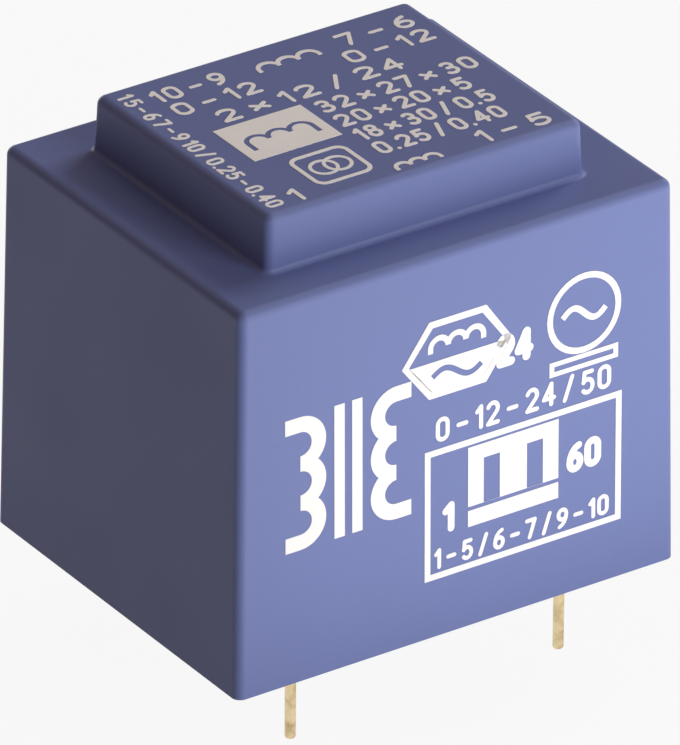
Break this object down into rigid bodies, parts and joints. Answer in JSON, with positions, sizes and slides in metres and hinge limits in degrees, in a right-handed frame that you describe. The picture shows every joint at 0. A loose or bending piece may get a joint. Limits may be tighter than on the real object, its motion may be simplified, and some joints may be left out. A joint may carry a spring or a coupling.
{
  "type": "pcb transformer",
  "caption": "Encapsulated mains transformer for printed circuit boards: moulded cup with a raised cover, potted laminated core and coil, round solder pins on a square grid.",
  "frame": {"origin": "centre of the square pin grid, in the plane of the housing's rim, where the board's face lies", "axes": "+Z away from the board, X along the pin rows and the wide faces, -Y towards the primary's pins; the coil's axis lies along Y"},
  "size_m": [0.0324, 0.027, 0.0364],
  "materials": {
    "housing_plastic": "satin",
    "resin": "satin",
    "core_steel": "oxide coated",
    "former_plastic": "matte",
    "enamelled_copper": "enamelled",
    "insulating_tape": "gloss",
    "pin_brass": "drawn",
    "solder": "dull"
  },
  "bodies": {
    "root": {"housing": "housing_plastic", "potting_resin": "resin", "e_laminations": "core_steel", "i_laminations": "core_steel", "bobbin": "former_plastic", "primary_winding": "enamelled_copper", "primary_tape": "insulating_tape", "secondary_winding_a": "enamelled_copper", "secondary_interleaf": "insulating_tape", "secondary_winding_b": "enamelled_copper", "secondary_tape": "insulating_tape", "primary_pin_1": "pin_brass", "primary_pin_5": "pin_brass", "secondary_pin_6": "pin_brass", "secondary_pin_7": "pin_brass", "secondary_pin_9": "pin_brass", "secondary_pin_10": "pin_brass", "solder_1": "solder", "solder_5": "solder", "solder_6": "solder", "solder_7": "solder", "solder_9": "solder", "solder_10": "solder"}
  },
  "joints": []
}
